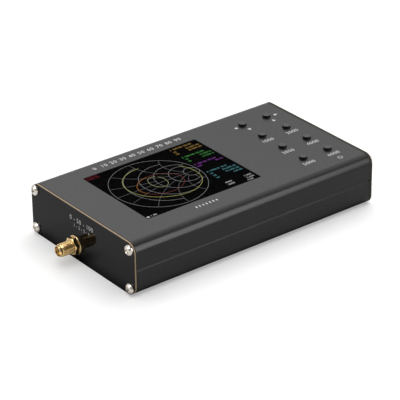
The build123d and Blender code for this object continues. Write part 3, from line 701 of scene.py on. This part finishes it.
plate_screws("front_screws", "front_plate_screws", PLATE_FRONT, -90, FRONT_TWISTS)
plate_screws("rear_screws", "rear_plate_screws", PLATE_BACK, 90, REAR_TWISTS)


# Test port

PORT_PLACE = Matrix.Translation((PLATE_FRONT, PORT_Y, PORT_Z)) @ Matrix.Rotation(-math.pi / 2, 4, "Y")
REACH = PORT_REACH / MM
BACK = PORT_BACK / MM
WASHER_TOP = WASHER_THICKNESS / MM
SOCKET_FLOOR = REACH - PORT_SOCKET_DEPTH


def port_body():
    """Barrel with a helical thread, a plain lead at its mouth and a square shoulder behind the plate."""
    def shoulder(height):
        return lambda angle: (polygon_radius(angle, PORT_SHOULDER, PORT_SHOULDER_SIDES), height)

    form = bmesh.new()
    root = PORT_CREST - PORT_THREAD_DEPTH
    shoulder_front = PORT_SHOULDER_THICKNESS - BACK
    rows = [shoulder(-BACK), shoulder(shoulder_front)]
    rows += plain_rows([(root, shoulder_front), (root, WASHER_TOP)])
    thread_end = REACH - PORT_LEAD
    crest_end = thread_end - PORT_THREAD_DEPTH
    rows += thread_rows(WASHER_TOP, crest_end, PORT_CREST, PORT_THREAD_DEPTH, PORT_PITCH, THREAD_ROWS)
    rows += plain_rows([
        (root - PORT_GROOVE_DEPTH, thread_end),
        (root - PORT_GROOVE_DEPTH, thread_end + PORT_GROOVE),
        (root, thread_end + PORT_GROOVE),
        (root, REACH - PORT_TIP_BEVEL),
        (root - PORT_TIP_BEVEL, REACH),
        (PORT_SOCKET_RADIUS + PORT_MOUTH_BEVEL, REACH),
        (PORT_SOCKET_RADIUS, REACH - PORT_MOUTH_BEVEL),
        (PORT_SOCKET_RADIUS, SOCKET_FLOOR),
        (PORT_BORE_RADIUS, SOCKET_FLOOR),
        (PORT_BORE_RADIUS, -BACK),
    ])
    skin(form, rings(form, rows, ROUND_STEPS, PORT_PLACE), hollow=True)
    low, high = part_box("port_body")
    leg_start = PLATE_FRONT + PORT_BACK
    leg_width = PORT_LEG_WIDTH * MM
    leg_height = PORT_LEG_HEIGHT * MM
    for y in (low.y, high.y - leg_width):
        for z in (low.z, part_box("radio_board")[1].z):
            box_form(form, (leg_start, y, max(z, low.z)), (high.x, y + leg_width, z + leg_height))
    return new_piece("port_barrel", form, FINISH["contact_gold"])


def port_nut():
    """Hexagon nut, tightened to a turn that leaves no flat level, with its outer corners turned down."""
    def row_at(height, limit):
        return lambda angle: (min(polygon_radius(angle - first, NUT_FLATS, NUT_SIDES), limit), height)

    first = math.radians(NUT_TURN) - math.pi / NUT_SIDES
    top = NUT_TOP / MM
    corner = NUT_FLATS / 2 / math.cos(math.pi / NUT_SIDES)
    form = bmesh.new()
    rows = [row_at(WASHER_TOP, corner)]
    for step in range(CORNER_STEPS + 1):
        share = step / CORNER_STEPS
        limit = corner + (NUT_CHAMFER_RADIUS - corner) * share
        rows.append(row_at(top - NUT_CHAMFER_DEPTH * (1 - share), limit))
    bore = PORT_CREST + PORT_FIT_GAP
    rows += plain_rows([(bore + NUT_BORE_BEVEL, top), (bore, top - NUT_BORE_BEVEL), (bore, WASHER_TOP)])
    skin(form, rings(form, rows, ROUND_STEPS * 2, PORT_PLACE), hollow=True)
    return new_piece("port_hex_nut", form, FINISH["contact_gold"])


def port_washer():
    """Flat washer with broken edges."""
    form = bmesh.new()
    bore = PORT_CREST + PORT_FIT_GAP
    profile = [
        (bore, 0.0),
        (WASHER_RADIUS - WASHER_EDGE, 0.0),
        (WASHER_RADIUS, WASHER_EDGE),
        (WASHER_RADIUS, WASHER_TOP - WASHER_EDGE),
        (WASHER_RADIUS - WASHER_EDGE, WASHER_TOP),
        (bore, WASHER_TOP),
    ]
    turned(form, profile, PORT_PLACE, ROUND_STEPS * 2, hollow=True)
    return new_piece("port_lock_washer", form, PALE_GOLD)


def port_insulator():
    """White sleeve between the barrel and the contact."""
    form = bmesh.new()
    inner = CONTACT_RADIUS + PORT_FIT_GAP
    outer = PORT_BORE_RADIUS - PORT_FIT_GAP
    bevel = INSULATOR_BEVEL
    profile = [
        (inner, -BACK),
        (outer, -BACK),
        (outer, SOCKET_FLOOR - bevel),
        (outer - bevel, SOCKET_FLOOR),
        (inner + bevel, SOCKET_FLOOR),
        (inner, SOCKET_FLOOR - bevel),
    ]
    turned(form, profile, PORT_PLACE, hollow=True)
    return new_piece("port_sleeve", form, FINISH["insulator_white"])


def port_contact():
    """Socket contact with four slots in its mouth and a thin tail."""
    form = bmesh.new()
    profile = [
        (CONTACT_TAIL, -BACK - CONTACT_TAIL_LENGTH),
        (CONTACT_TAIL, -BACK),
        (CONTACT_RADIUS, -BACK),
        (CONTACT_RADIUS, SOCKET_FLOOR - CONTACT_LEAD_DEPTH),
        (CONTACT_RADIUS - CONTACT_LEAD, SOCKET_FLOOR),
        (CONTACT_BORE + CONTACT_LEAD, SOCKET_FLOOR),
        (CONTACT_BORE, SOCKET_FLOOR - CONTACT_LEAD_DEPTH),
        (CONTACT_BORE, SOCKET_FLOOR - CONTACT_BORE_DEPTH),
    ]
    turned(form, profile, Matrix.Identity(4), SHANK_STEPS)
    piece = new_piece("port_centre_contact", form, FINISH["contact_gold"])
    for turn in (math.pi / 4, -math.pi / 4):
        slot = bmesh.new()
        half = CONTACT_SLOT / 2
        low = Vector((-CONTACT_SLOT_REACH, -half, SOCKET_FLOOR - CONTACT_SLOT_DEPTH)) * MM
        high = Vector((CONTACT_SLOT_REACH, half, SOCKET_FLOOR + CONTACT_SLOT_CLEAR)) * MM
        box_form(slot, low, high)
        bmesh.ops.rotate(slot, verts=slot.verts, matrix=Matrix.Rotation(turn, 3, "Z"))
        cut(piece, new_piece("contact_slot", slot))
    piece.data.transform(PORT_PLACE)
    return piece


dress(port_body(), "contact_gold", "port_body")
dress(port_nut(), "contact_gold", "port_nut")
dress(port_washer(), "contact_gold", "port_washer")
dress(port_insulator(), "insulator_white", "port_insulator")
dress(port_contact(), "contact_gold", "port_contact")


# Button caps

def button_cap(number):
    """Round flat cap with a rolled edge and a socket below."""
    low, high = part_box(f"button_{number}")
    place = Matrix.Translation(((low.x + high.x) / 2, (low.y + high.y) / 2, 0.0))
    radius = (high.x - low.x) / 2 / MM
    bottom, top = low.z / MM, high.z / MM
    roof = bottom + CAP_SOCKET_DEPTH
    profile = [(CAP_SOCKET_RADIUS, roof), (CAP_SOCKET_RADIUS, bottom), (radius, bottom)]
    for step in range(CORNER_STEPS + 1):
        turn = math.pi / 2 * step / CORNER_STEPS
        profile.append((radius - CAP_EDGE * (1 - math.cos(turn)), top - CAP_EDGE * (1 - math.sin(turn))))
    form = bmesh.new()
    turned(form, profile, place)
    piece = new_piece(f"cap_{number}", form, FINISH["button_black"])
    dress(piece, "button_black", f"button_{number}", body=f"key_{number}")


for number in range(1, BUTTONS + 1):
    button_cap(number)


# Display pane and image

def rounded_outline(low, high, corner):
    """Points of a rounded rectangle in millimetres."""
    points = []
    corners = ((high[0], high[1]), (low[0], high[1]), (low[0], low[1]), (high[0], low[1]))
    for turn, (x, y) in enumerate(corners):
        centre_x = x - corner if x == high[0] else x + corner
        centre_y = y - corner if y == high[1] else y + corner
        for step in range(CORNER_STEPS + 1):
            angle = math.pi / 2 * (turn + step / CORNER_STEPS)
            points.append((centre_x + corner * math.cos(angle), centre_y + corner * math.sin(angle)))
    return points


def display_pane():
    """Clear pane with a fine bevel, just above the display's image."""
    low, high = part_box("display_window")
    start = (low.x / MM, low.y / MM)
    end = (high.x / MM, high.y / MM)
    form = bmesh.new()
    loops = []
    levels = ((0, IMAGE_Z + PANE_GAP * MM), (0, high.z - PANE_BEVEL * MM), (PANE_BEVEL, high.z))
    for inset, height in levels:
        inner_low = [v + inset for v in start]
        inner_high = [v - inset for v in end]
        outline = rounded_outline(inner_low, inner_high, PANE_CORNER - inset)
        loops.append([form.verts.new((x * MM, y * MM, height)) for x, y in outline])
    skin(form, loops)
    dress(new_piece("display_pane", form, FINISH["window_clear"]), "window_clear", "display_window")


def on_chart(value):
    """Place in millimetres of a reflection value on the chart."""
    return Vector((CHART_X + CHART_RADIUS * value.real, CHART_Y + CHART_RADIUS * value.imag))


def chart_circles():
    """Circles of equal resistance, each as far as its reactance goes."""
    form = bmesh.new()
    for resistance, most in RESISTANCES:
        span = math.atan(most / (1 + resistance))
        points = []
        for turn in spread(-span, span, CHART_STEPS):
            load = complex(resistance, (1 + resistance) * math.tan(turn))
            points.append(on_chart((load - 1) / (load + 1)))
        ribbon(form, points, LINE_WIDTH, IMAGE_Z, IMAGE_Z + LINE_LIFT * MM)
    dress(new_piece("chart_circles", form, GLOWING["grid"], flat=True), None)


def chart_arcs():
    """Fainter axis and arcs of equal reactance, each as far as its resistance goes."""
    form = bmesh.new()
    top = IMAGE_Z + ARC_LIFT * MM
    ribbon(form, [on_chart(complex(-1, 0)), on_chart(complex(1, 0))], ARC_WIDTH, IMAGE_Z, top)
    for reactance, most in REACTANCES:
        for side in (-1, 1):
            points = []
            for step in range(ARC_STEPS + 1):
                load = complex(math.tan(math.atan(most) * step / ARC_STEPS), side * reactance)
                points.append(on_chart((load - 1) / (load + 1)))
            ribbon(form, points, ARC_WIDTH, IMAGE_Z, top)
    dress(new_piece("chart_arcs", form, GLOWING["arcs"], flat=True), None)


def trace(name, glow, centre, reach, sway, span):
    """Measured curve round a centre on the chart: part of an ellipse, which may sway twice in a turn."""
    form = bmesh.new()
    points = []
    for turn in spread(*span, TRACE_STEPS + 1):
        swing = sway * math.cos(2 * math.radians(turn - SWAY_TURN))
        wide, tall = (radius + swing for radius in reach)
        angle = math.radians(turn)
        points.append(on_chart(centre + complex(wide * math.cos(angle), tall * math.sin(angle))))
    ribbon(form, points, TRACE_WIDTH, IMAGE_Z, IMAGE_Z + TRACE_LIFT * MM)
    dress(new_piece(name, form, GLOWING[glow], flat=True), None)


def readout(name, glow, rows):
    """Rows of plain numerals, each with its place and side."""
    form = bmesh.new()
    lift = LINE_LIFT * MM
    for text, x, y, size, align in rows:
        place = Matrix.Translation((x * MM, y * MM, IMAGE_Z + lift / 2))
        lettering(form, text, size * MM, place, lift, align)
    dress(new_piece(name, form, GLOWING[glow], flat=True), None)


# Curves on the chart: name, glow, centre, two radii, sway, and first and last angle in degrees
TRACES = (
    ("trace_outer", "yellow", complex(0.13, 0.04), (0.745, 0.745), 0.055, (95, 385)),
    ("trace_small", "olive", complex(0.034, 0.057), (0.18, 0.245), 0.0, (60, 405)),
    ("trace_loop", "red", complex(0.03, -0.04), (0.51, 0.40), 0.0, (205, 455)),
    ("trace_loop_bright", "orange", complex(0.03, -0.04), (0.51, 0.40), 0.0, (95, 205)),
)
SWAY_TURN = 150

# Numerals beside the chart, with their places in millimetres
COLUMN_LEFT, COLUMN_RIGHT = -0.9, 14.6
ROW_SIZE = 1.3
HEADER_SIZE = 1.4
COLUMN = (
    ("amber", 25.3, "1 100.00 50.00", ((22.5, "10", "10.000 00"), (20.2, "20", "20.000 00"))),
    ("green", 15.5, "2 200.00 50.00", ((13.0, "10", "12.500 0"), (10.7, "20", "14.250 0"))),
    ("violet", 6.0, "3 180.00 90.00", ((3.7, "100", "90.00"),)),
    ("cyan", -3.6, "4 1000.0 10.0",
     ((-6.1, "10", "50.000 00"), (-8.6, "20", "75.000 00"), (-11.1, "30", "100.00"))),
)
FOOT_ROWS = (
    ("4000", COLUMN_LEFT, -17.7, "LEFT"),
    ("2000", COLUMN_LEFT, -20.0, "LEFT"),
    ("1.000", COLUMN_RIGHT, -17.7, "RIGHT"),
    ("2.000", COLUMN_RIGHT, -20.0, "RIGHT"),
    ("0.50", 12.6, -22.0, "RIGHT"),
    ("1.00", -47.7, -21.9, "LEFT"),
)
CORNER_ROWS = (("0.000 00", -50.0, 26.6, ROW_SIZE, "LEFT"), ("0.000 00", -50.0, 24.9, ROW_SIZE, "LEFT"))
STATUS_DOT = (-49.2, -22.0)
STATUS_RADIUS = 0.75

display_pane()
chart_circles()
chart_arcs()
for curve in TRACES:
    trace(*curve)
for glow, header_y, header, lines in COLUMN:
    rows = [(header, COLUMN_LEFT, header_y, HEADER_SIZE, "LEFT")]
    for y, label, value in lines:
        rows.append((label, COLUMN_LEFT, y, ROW_SIZE, "LEFT"))
        rows.append((value, COLUMN_RIGHT, y, ROW_SIZE, "RIGHT"))
    readout("readout_" + glow, glow, rows)
readout("readout_foot", "white", [(text, x, y, ROW_SIZE, align) for text, x, y, align in FOOT_ROWS])
readout("readout_corner", "maroon", CORNER_ROWS)


def status_dot():
    """Lit dot in the lower corner of the display."""
    turns = [2 * math.pi * step / SHANK_STEPS for step in range(SHANK_STEPS)]
    x, y = STATUS_DOT
    outline = []
    for turn in turns:
        outline.append((x + STATUS_RADIUS * math.cos(turn), y + STATUS_RADIUS * math.sin(turn)))
    form = bmesh.new()
    polygon_plate(form, outline, IMAGE_Z, IMAGE_Z + LINE_LIFT * MM)
    dress(new_piece("status_dot", form, GLOWING["white"], flat=True), None)


status_dot()


# Printed marks

INK_TOP = FACE_TOP + INK_LIFT * MM
ARROW_SIZE = 1.35
ARROW_REACH = 4.7
ARROW_DROP = 1.0
ARROW_CORNERS = ((0, 1.0), (125, 0.85), (235, 0.85))
# Arrows at the first two buttons: steps across and up, and where they point, in degrees
ARROWS = {1: ((-1, 0, 180), (0, -1, 270)), 2: ((1, 0, 0), (0, -1, 90))}
LABEL_SHIFT = -1.1
LABEL_DROP = 5.7
LABEL_SIZE = 2.4
LABEL_STEP = 1000
POWER_X, POWER_Y, POWER_RADIUS, POWER_WIDTH = 57.8, -32.2, 1.15, 0.3
POWER_OPEN = 40
UPWARD, FULL_TURN = 90, 360
POWER_BAR_START, POWER_BAR_OVER = 0.3, 0.35
SCALE_Y, SCALE_START, SCALE_END, SCALE_SIZE = 31.9, -40.6, 8.8, 2.6
SCALE_COUNT, SCALE_STEP = 10, 10
ROW_Y, ROW_START, ROW_END, ROW_TALL, ROW_WIDTH = -29.0, -26.8, -15.0, 1.5, 0.64
ROW_COUNT = 7


def arrow(form, x, y, turn):
    """Small triangle that points to an angle in degrees."""
    outline = []
    for corner, share in ARROW_CORNERS:
        angle = math.radians(turn + corner)
        reach = ARROW_SIZE * share
        outline.append((x + reach * math.cos(angle), y + reach * math.sin(angle)))
    polygon_plate(form, outline, FACE_TOP, INK_TOP)


def power_sign(form):
    """Open ring with an upright bar."""
    middle = Vector((POWER_X, POWER_Y))
    points = []
    for turn in spread(UPWARD + POWER_OPEN, UPWARD + FULL_TURN - POWER_OPEN, ARC_STEPS + 1):
        angle = math.radians(turn)
        points.append(middle + POWER_RADIUS * Vector((math.cos(angle), math.sin(angle))))
    ribbon(form, points, POWER_WIDTH, FACE_TOP, INK_TOP)
    bar = [middle + Vector((0, rise)) for rise in (POWER_BAR_START, POWER_RADIUS + POWER_BAR_OVER)]
    ribbon(form, bar, POWER_WIDTH, FACE_TOP, INK_TOP)


def face_marks():
    """Arrows at the first two buttons, numerals at the others, and the power sign."""
    form = bmesh.new()
    for number in range(1, BUTTONS + 1):
        low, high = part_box(f"button_{number}")
        x, y = (low.x + high.x) / 2 / MM, (low.y + high.y) / 2 / MM
        if number in ARROWS:
            for across, up, turn in ARROWS[number]:
                arrow(form, x + across * ARROW_REACH, y - ARROW_DROP + up * ARROW_REACH, turn)
        else:
            spot = ((x + LABEL_SHIFT) * MM, (y - LABEL_DROP) * MM, (FACE_TOP + INK_TOP) / 2)
            label = str((number - len(ARROWS)) * LABEL_STEP)
            lettering(form, label, LABEL_SIZE * MM, Matrix.Translation(spot), INK_LIFT * MM)
    power_sign(form)
    dress(new_piece("face_marks", form, INK, flat=True), None)


def face_scale():
    """Row of scale numerals above the display and a row of short bars below it."""
    form = bmesh.new()
    middle = (FACE_TOP + INK_TOP) / 2
    for step, x in enumerate(spread(SCALE_START, SCALE_END, SCALE_COUNT)):
        place = Matrix.Translation((x * MM, SCALE_Y * MM, middle))
        lettering(form, str(step * SCALE_STEP), SCALE_SIZE * MM, place, INK_LIFT * MM)
    for x in spread(ROW_START, ROW_END, ROW_COUNT):
        ends = [Vector((x, ROW_Y - ROW_TALL / 2)), Vector((x, ROW_Y + ROW_TALL / 2))]
        ribbon(form, ends, ROW_WIDTH, FACE_TOP, INK_TOP)
    dress(new_piece("face_scale", form, INK, flat=True), None)


PLATE_MARK_Y, PLATE_MARK_Z = 0.0, 20.9
PLATE_ROWS = (("0 - 50 - 100", 0.0, 2.5), ("1 - 2 - 3 - 4", -3.2, 1.7))


def plate_marks():
    """Two rows of plain numerals above the port."""
    form = bmesh.new()
    # Laid out in the XY plane, then stood on the plate's outer face
    for label, rise, size in PLATE_ROWS:
        place = Matrix.Translation((0, rise * MM, INK_LIFT * MM / 2))
        lettering(form, label, size * MM, place, INK_LIFT * MM)
    # Seen from in front of the plate, right is -Y and up is +Z
    columns = (Vector((0, -1, 0)), Vector((0, 0, 1)), Vector((-1, 0, 0)))
    stand = Matrix(columns).transposed().to_4x4()
    place = Matrix.Translation((PLATE_FRONT, PLATE_MARK_Y * MM, PLATE_MARK_Z * MM)) @ stand
    bmesh.ops.transform(form, matrix=place, verts=form.verts)
    dress(new_piece("plate_marks", form, INK, flat=True), None)


face_marks()
face_scale()
plate_marks()


# Stage, light and camera

FLOOR_DROP = 0.0001
FLOOR_HALF = 6.0
FLOOR_COLOUR = (0.73, 0.73, 0.73)
FLOOR_LIFT, FLOOR_FAR_LIFT = 0.33, 0.85
LIFT_NEAR, LIFT_FAR = 0.4, 2.2
WORLD_FILL = 0.38
SKY_EDGE, SKY_TOP = 0.74, 0.86
SKY_TOP_LEVEL = 0.4
FRONT_AZIMUTH = -128
FRONT_EDGE, FRONT_MIDDLE = 0.0, 0.75
FRONT_LEVEL = 0.4
# Reach and limits of the ambient occlusion that paints the floor's contact shade
CREVICE_REACH = 0.008
CREVICE_SHUT, CREVICE_OPEN = 0.35, 0.95
AIM = Vector((0.0, 0.0, 0.013))
CAMERA_PLACE = Vector((-0.556749, -0.716557, 0.490530))
CAMERA_RIGHT = Vector((0.787694, -0.615990, -0.009722))
CAMERA_UP = Vector((0.295364, 0.363752, 0.883428))
CAMERA_LENS = 193.383
SENSOR = 36.0
CLIP_START, CLIP_END = 0.01, 50.0
# Lamps: name; azimuth from +X towards +Y, elevation, distance; width, height; radiance; options
LAMPS = (
    ("overhead", (0, 89.9, 0.7), (0.9, 0.9), 1.45, {"mirrored": False}),
    ("back", (36, 48.5, 1.6), (2.2, 1.16), 1.72, {}),
    ("side_strip", (-60.5, 22.5, 1.4), (0.52, 1.12), 9.4, {"lights": False, "roll": -16}),
    ("left_high", (175, 52, 1.5), (0.9, 0.7), 8.0, {"lights": False}),
    ("left_low", (157, 14, 1.5), (0.75, 0.5), 2.2, {"lights": False}),
)


def seen_directly(material):
    """1 for camera, glossy and transmission rays, else 0."""
    path = add(material, "LightPath").outputs
    total = math_node(material, "MAXIMUM", path["Is Camera Ray"], path["Is Glossy Ray"])
    return math_node(material, "MAXIMUM", total, path["Is Transmission Ray"])


def floor():
    """White floor: dark painted shade for reflections close under the object, lifted to white farther
    out.
    """
    form = bmesh.new()
    place = Matrix.Translation((0, 0, -FLOOR_DROP))
    bmesh.ops.create_grid(form, x_segments=1, y_segments=1, size=FLOOR_HALF, matrix=place)
    material, shader = new_material("floor", level=0.0, Roughness=1.0)
    shader.inputs["Emission Color"].default_value = (1.0, 1.0, 1.0, 1.0)
    # Painted contact shade: ambient occlusion darkens the floor's colour and lift near the object, but
    # not for camera rays
    crevice = add(material, "AmbientOcclusion", {"Distance": CREVICE_REACH}).outputs["AO"]
    looked_at = add(material, "LightPath").outputs["Is Camera Ray"]
    clear = fitted(material, crevice, 0.0, 1.0, CREVICE_SHUT, CREVICE_OPEN)
    open_share = math_node(material, "MAXIMUM", clear, looked_at)
    plug(material, blended(material, open_share, (0.0, 0.0, 0.0), FLOOR_COLOUR), shader, "Base Color")
    spot = add(material, "TexCoord").outputs["Object"]
    away = add(material, "VectorMath", {0: spot}, operation="LENGTH").outputs["Value"]
    glow = fitted(material, away, FLOOR_LIFT, FLOOR_FAR_LIFT, LIFT_NEAR, LIFT_FAR)
    lift = math_node(material, "MULTIPLY", seen_directly(material), glow)
    plug(material, math_node(material, "MULTIPLY", lift, open_share), shader, "Emission Strength")
    new_piece("floor", form, material, flat=True)


def world():
    """White at the back and greyer overhead and in front, as seen; an even fill as light on surfaces."""
    sky = bpy.data.worlds.new("studio")
    bpy.context.scene.world = sky
    sky.use_nodes = True
    background = sky.node_tree.nodes["Background"]
    background.inputs["Color"].default_value = (1.0, 1.0, 1.0, 1.0)
    way = add(sky, "TexCoord").outputs["Generated"]
    height = add(sky, "SeparateXYZ", {0: way}).outputs["Z"]
    turn = math.radians(FRONT_AZIMUTH)
    ahead = (math.cos(turn), math.sin(turn), 0.0)
    frontal = add(sky, "VectorMath", {0: way, 1: ahead}, operation="DOT_PRODUCT").outputs["Value"]
    level_round = fitted(sky, frontal, 1.0, FRONT_LEVEL, FRONT_EDGE, FRONT_MIDDLE)
    level_up = fitted(sky, height, 1.0, SKY_TOP_LEVEL, SKY_EDGE, SKY_TOP)
    shown = math_node(sky, "MULTIPLY", level_round, level_up)
    level = add(sky, "Mix", {"Factor": seen_directly(sky), "A": WORLD_FILL, "B": shown}).outputs["Result"]
    sky.node_tree.links.new(level, background.inputs["Strength"])


def softbox(name, place, size, radiance, mirrored=True, lights=True, roll=0):
    """Area lamp that faces the object; roll turns it about its own axis, in degrees."""
    azimuth, elevation, distance = place
    width, height = size
    lamp = bpy.data.lights.new(name, "AREA")
    lamp.shape = "RECTANGLE"
    lamp.size = width
    lamp.size_y = height
    lamp.energy = radiance * math.pi * width * height
    turn, rise = math.radians(azimuth), math.radians(elevation)
    out = Vector((math.cos(turn) * math.cos(rise), math.sin(turn) * math.cos(rise), math.sin(rise)))
    holder = bpy.data.objects.new(name, lamp)
    holder.location = AIM + out * distance
    holder.rotation_mode = "QUATERNION"
    leaning = Quaternion((0, 0, 1), math.radians(roll))
    holder.rotation_quaternion = out.to_track_quat("Z", "Y") @ leaning
    holder.visible_camera = False
    holder.visible_glossy = mirrored
    holder.visible_diffuse = lights
    bpy.context.scene.collection.objects.link(holder)


def camera():
    """Camera as fitted to the photo."""
    data = bpy.data.cameras.new("camera")
    data.sensor_width = SENSOR
    data.lens = CAMERA_LENS
    data.clip_start = CLIP_START
    data.clip_end = CLIP_END
    holder = bpy.data.objects.new("camera", data)
    turn = Matrix((CAMERA_RIGHT, CAMERA_UP, CAMERA_RIGHT.cross(CAMERA_UP))).transposed()
    holder.matrix_world = Matrix.Translation(CAMERA_PLACE) @ turn.to_4x4()
    bpy.context.scene.collection.objects.link(holder)
    bpy.context.scene.camera = holder


floor()
world()
for name, place, size, radiance, options in LAMPS:
    softbox(name, place, size, radiance, **options)
camera()
bpy.context.scene.view_settings.view_transform = "Standard"
